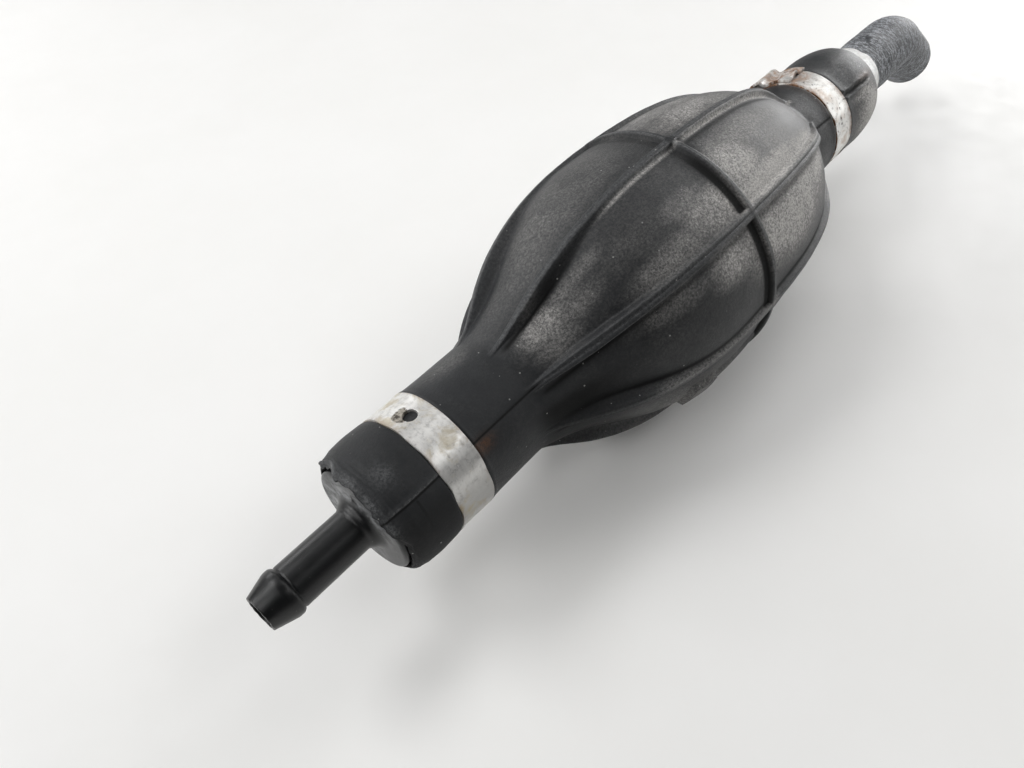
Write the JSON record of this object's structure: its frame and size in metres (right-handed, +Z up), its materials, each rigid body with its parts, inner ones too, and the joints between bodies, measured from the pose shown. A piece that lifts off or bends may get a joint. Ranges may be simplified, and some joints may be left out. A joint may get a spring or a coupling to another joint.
{
  "type": "siphon bulb pump",
  "caption": "In-line rubber squeeze-bulb pump with moulded ribs, a non-return valve and barbed fitting in each clamped neck, and a short bent suction hose.",
  "frame": {"origin": "on the pump axis, at the middle of the outlet nozzle's hose barb", "axes": "+X along the pump axis towards the suction hose, so fuel flows along -X; +Z up; the mould parting line is at 45 degrees between +Z and -Y"},
  "size_m": [0.2501, 0.0564, 0.0564],
  "materials": {
    "bulb_rubber": "worn matt moulded",
    "fitting_plastic": "satin moulded",
    "clamp_steel": "zinc plated, stained",
    "hose_rubber": "cloth-wrapped cover",
    "valve_plastic": "natural acetal",
    "seal_rubber": "smooth",
    "spring_steel": "drawn stainless wire"
  },
  "bodies": {
    "pump_body": {"bulb_body": "bulb_rubber", "outlet_nozzle": "fitting_plastic", "outlet_valve_seat": "valve_plastic", "outlet_valve_spring": "spring_steel", "outlet_neck_clamp": "clamp_steel", "inlet_fitting": "fitting_plastic", "inlet_spring_cage": "valve_plastic", "inlet_valve_spring": "spring_steel", "inlet_neck_clamp": "clamp_steel", "suction_hose": "hose_rubber", "suction_hose_clamp": "clamp_steel"},
    "outlet_valve": {"outlet_valve_poppet": "valve_plastic", "outlet_valve_seal": "seal_rubber"},
    "inlet_valve": {"inlet_valve_poppet": "valve_plastic", "inlet_valve_seal": "seal_rubber"},
    "left_wall": {"bulb_wall_left": "bulb_rubber"},
    "right_wall": {"bulb_wall_right": "bulb_rubber"}
  },
  "joints": [
    {"name": "squeeze_left", "type": "slide", "parent": "pump_body", "child": "left_wall", "axis": [0, -0.7071, -0.7071], "range_m": [0, 0.008], "stiffness_N_per_m": 2000},
    {"name": "squeeze_right", "type": "slide", "parent": "pump_body", "child": "right_wall", "axis": [0, 0.7071, 0.7071], "range_m": [0, 0.008], "stiffness_N_per_m": 2000},
    {"name": "outlet_valve_lift", "type": "slide", "parent": "pump_body", "child": "outlet_valve", "axis": [-1, 0, 0], "range_m": [0, 0.0022], "stiffness_N_per_m": 60, "springref_m": -0.003, "deforming": ["outlet_valve_spring"]},
    {"name": "inlet_valve_lift", "type": "slide", "parent": "pump_body", "child": "inlet_valve", "axis": [-1, 0, 0], "range_m": [0, 0.0022], "stiffness_N_per_m": 60, "springref_m": -0.003, "deforming": ["inlet_valve_spring"]}
  ]
}
